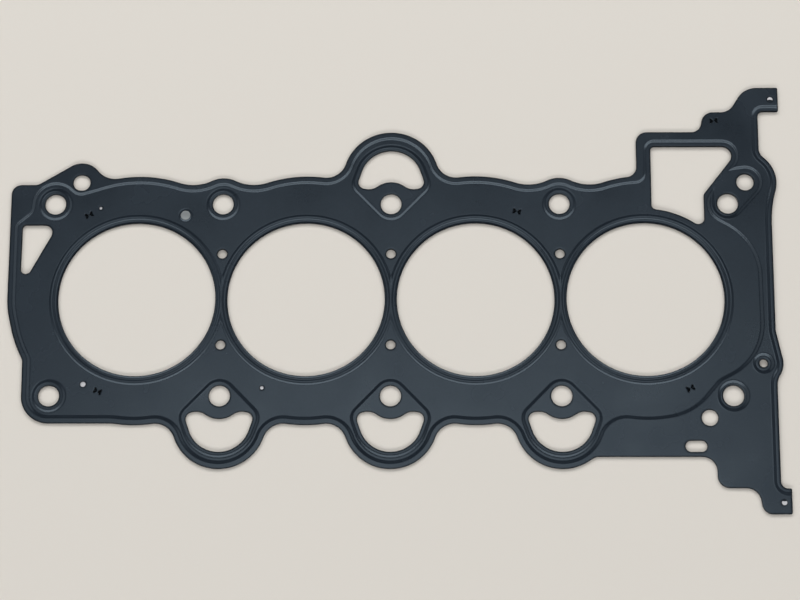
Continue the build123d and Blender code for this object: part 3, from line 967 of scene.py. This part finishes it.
def tongue_tree():
    """Geometry Nodes that set two V-shaped tongues, back to back, on every joint point."""
    n, given = new_tree("Lanced tongues", TONGUE_INPUTS)
    arm_middle = n.vector(X=n.math("MULTIPLY", given["Arm"], 0.5))
    bar_length = n.math("ADD", given["Arm"], n.math("MULTIPLY", given["Width"], TONGUE_OVERLAP))
    bar_size = n.vector(X=bar_length, Y=given["Width"], Z=given["Thickness"])
    root = n.vector(X=given["Gap"])

    def moved_by(geometry, **move):
        return n.add("GeometryNodeTransform", {"Geometry": geometry, **move}).outputs[0]

    bars = []
    for side in (0.0, math.pi):
        for bend in (-1.0, 1.0):
            bar = n.add("GeometryNodeMeshCube", {"Size": bar_size}).outputs["Mesh"]
            turn = n.vector(Z=n.math("MULTIPLY", given["Spread"], bend))
            arm = moved_by(moved_by(bar, Translation=arm_middle), Rotation=turn)
            bars.append(moved_by(moved_by(arm, Translation=root), Rotation=(0.0, 0.0, side)))
    spots = n.add("GeometryNodeInstanceOnPoints",
                  {"Points": given["Geometry"], "Instance": n.joined(bars),
                   "Rotation": n.vector(Z=n.named("turn"))})
    return end_tree(n, spots.outputs[0], given["Finish"])


class GASKET_OT_tongues(bpy.types.Operator):
    """Sets the lanced tongues into the joints that lock the sheets together"""
    bl_idname = "gasket.tongues"
    bl_label = "Lanced tongues"

    def execute(self, context):
        low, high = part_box("carrier_layer")
        thickness = high.z - low.z
        z = low.z + TONGUE_LEVEL * thickness
        mesh = bpy.data.meshes.new("lanced_tongues")
        mesh.from_pydata([(x * MM, y * MM, z) for x, y, _ in clinches], [], [])
        turns = mesh.attributes.new("turn", "FLOAT", "POINT")
        turns.data.foreach_set("value", [math.radians(turn) for _, _, turn in clinches])
        piece = placed("lanced_tongues", mesh)
        piece.data = run_tree(piece, tongue_tree(), {
            "Gap": lance_gap * MM,
            "Arm": lance_arm * MM,
            "Width": TONGUE_WIDTH * lance_w * MM,
            "Spread": lance_spread,
            "Thickness": TONGUE_THICKNESS * thickness,
            "Finish": tongue_in_painted_shade(context.scene.gasket_finishes.tongue_shade),
        })
        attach(piece, BODY)
        return {"FINISHED"}


# ---------------------------------------------------------------- rivet
RIVET_SEGMENTS = 64
RIVET_CREASE = math.radians(50)
HEAD_T = 0.2 * MM        # thickness of a head
HEAD_EDGE_STEPS = 4      # steps round the eased edge of a head


def rivet_profile(head_r, half):
    """Half section, as radius and height, from the upper head's middle to the lower one's."""
    shank_r = 0.54 * head_r
    dish_r = 0.62 * head_r
    crown_r = 0.74 * head_r
    dish = 0.25 * HEAD_T
    dish_edge = 0.22 * HEAD_T
    ease_r = 0.06 * head_r
    ease_h = 0.3 * HEAD_T
    bevel_r = 0.03 * head_r
    bevel_h = 0.15 * HEAD_T
    profile = [(0.0, half - dish), (dish_r, half - dish_edge), (crown_r, half)]
    for k in range(HEAD_EDGE_STEPS + 1):
        a = math.pi / 2 * k / HEAD_EDGE_STEPS
        profile.append((head_r - ease_r * (1 - math.sin(a)), half - ease_h * (1 - math.cos(a))))
    under = half - HEAD_T
    profile += [(head_r, under + bevel_h), (head_r - bevel_r, under), (shank_r, under)]
    return profile + [(r, -z) for r, z in reversed(profile)]


def lathe(profile, centre):
    """Points and faces of a profile turned round the vertical through centre, poles closed."""
    verts = []
    for r, z in profile[1:-1]:
        for k in range(RIVET_SEGMENTS):
            a = 2 * math.pi * k / RIVET_SEGMENTS
            verts.append((centre.x + r * math.cos(a), centre.y + r * math.sin(a), centre.z + z))
    top = len(verts)
    verts += [(centre.x, centre.y, centre.z + z) for _, z in (profile[0], profile[-1])]
    last = top - RIVET_SEGMENTS
    faces = []
    for k in range(RIVET_SEGMENTS):
        j = (k + 1) % RIVET_SEGMENTS
        faces.append((top, k, j))
        for a in range(0, last, RIVET_SEGMENTS):
            b = a + RIVET_SEGMENTS
            faces.append((a + k, b + k, b + j, a + j))
        faces.append((last + j, last + k, top + 1))
    return verts, faces


class GASKET_OT_rivet(bpy.types.Operator):
    """Builds the rivet that holds the sheets together"""
    bl_idname = "gasket.rivet"
    bl_label = "Rivet"

    def execute(self, context):
        finishes = context.scene.gasket_finishes
        low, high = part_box("rivet")
        verts, faces = lathe(rivet_profile((high.x - low.x) / 2, (high.z - low.z) / 2), (low + high) / 2)
        mesh = bpy.data.meshes.new("rivet_body")
        mesh.from_pydata(verts, [], faces)
        mesh.shade_smooth()
        mesh.set_sharp_from_angle(angle=RIVET_CREASE)
        mesh.materials.append(rolled_steel("Rivet steel", finishes.rivet, finishes.rivet_roughness))
        piece = placed("rivet_body", mesh)
        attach(piece, BODY)
        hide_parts("rivet")
        return {"FINISHED"}


# ---------------------------------------------------------------- stage
def lay_table(table_colour):
    """Pale, plain, matt table under the gasket."""
    corners = [(-TABLE_HALF, -TABLE_HALF, 0), (TABLE_HALF, -TABLE_HALF, 0),
               (TABLE_HALF, TABLE_HALF, 0), (-TABLE_HALF, TABLE_HALF, 0)]
    mesh = bpy.data.meshes.new("table")
    mesh.from_pydata(corners, [], [(0, 1, 2, 3)])
    material, n = finish_base("Table")
    surface(n, {"Base Color": (*table_colour, 1.0), "Roughness": 0.8, "Specular IOR Level": 0.2})
    mesh.materials.append(material)
    placed("table", mesh)


def hang_lamp(name, place, size, power):
    """Rectangular lamp, aimed at the origin."""
    lamp = bpy.data.lights.new(name, "AREA")
    lamp.shape = "RECTANGLE"
    lamp.size, lamp.size_y = size
    lamp.energy = power
    holder = placed(name, lamp)
    holder.location = place
    holder.rotation_euler = (-Vector(place)).to_track_quat("-Z", "Y").to_euler()


def light_room():
    room = bpy.data.worlds.new("Room")
    room.use_nodes = True
    background = room.node_tree.nodes["Background"]
    background.inputs["Color"].default_value = ROOM_COLOUR
    background.inputs["Strength"].default_value = ROOM_STRENGTH
    return room


def set_camera():
    """Camera over the gasket, a little in front of the vertical and slightly rolled."""
    back = Vector((math.sin(CAMERA_AZIMUTH) * math.cos(CAMERA_ELEVATION),
                   -math.cos(CAMERA_AZIMUTH) * math.cos(CAMERA_ELEVATION),
                   math.sin(CAMERA_ELEVATION)))
    right = Vector((0, 0, 1)).cross(back).normalized()
    up = back.cross(right)
    turn = Matrix((right, up, back)).transposed() @ Matrix.Rotation(CAMERA_ROLL, 3, "Z")
    data = bpy.data.cameras.new("camera")
    data.sensor_width = CAMERA_SENSOR
    data.lens = CAMERA_LENS
    data.clip_start = 0.01
    camera = placed("camera", data)
    camera.matrix_world = Matrix.Translation(CAMERA_TARGET + CAMERA_DISTANCE * back) @ turn.to_4x4()
    return camera


class GASKET_OT_stage(bpy.types.Operator):
    """Lays the table, hangs the lamps and sets the camera"""
    bl_idname = "gasket.stage"
    bl_label = "Table, lamps and camera"

    def execute(self, context):
        lay_table(context.scene.gasket_finishes.table)
        for name, (place, size, power) in LAMPS.items():
            hang_lamp(name, place, size, power)
        context.scene.world = light_room()
        context.scene.camera = set_camera()
        context.scene.view_settings.view_transform = "Standard"
        return {"FINISHED"}


# ---------------------------------------------------------------- add-on
class GASKET_PT_panel(bpy.types.Panel):
    """Sizes, finishes and build steps of the gasket"""
    bl_idname = "GASKET_PT_panel"
    bl_label = "Head gasket"
    bl_space_type = "VIEW_3D"
    bl_region_type = "UI"
    bl_category = "Gasket"

    def draw(self, context):
        for group in (context.scene.gasket_sizes, context.scene.gasket_finishes):
            for key in group.__annotations__:
                self.layout.prop(group, key)
        for step in STEPS:
            self.layout.operator(step.bl_idname)


STEPS = (GASKET_OT_sheets, GASKET_OT_carrier, GASKET_OT_tongues, GASKET_OT_rivet, GASKET_OT_stage)
CLASSES = (GasketSizes, GasketFinishes) + STEPS + (GASKET_PT_panel,)


def register():
    for cls in CLASSES:
        bpy.utils.register_class(cls)
    bpy.types.Scene.gasket_sizes = PointerProperty(type=GasketSizes)
    bpy.types.Scene.gasket_finishes = PointerProperty(type=GasketFinishes)


def unregister():
    del bpy.types.Scene.gasket_finishes
    del bpy.types.Scene.gasket_sizes
    for cls in reversed(CLASSES):
        bpy.utils.unregister_class(cls)


def main():
    register()
    bpy.ops.gasket.sheets()
    bpy.ops.gasket.carrier()
    bpy.ops.gasket.tongues()
    bpy.ops.gasket.rivet()
    bpy.ops.gasket.stage()


if __name__ == "__main__":
    main()
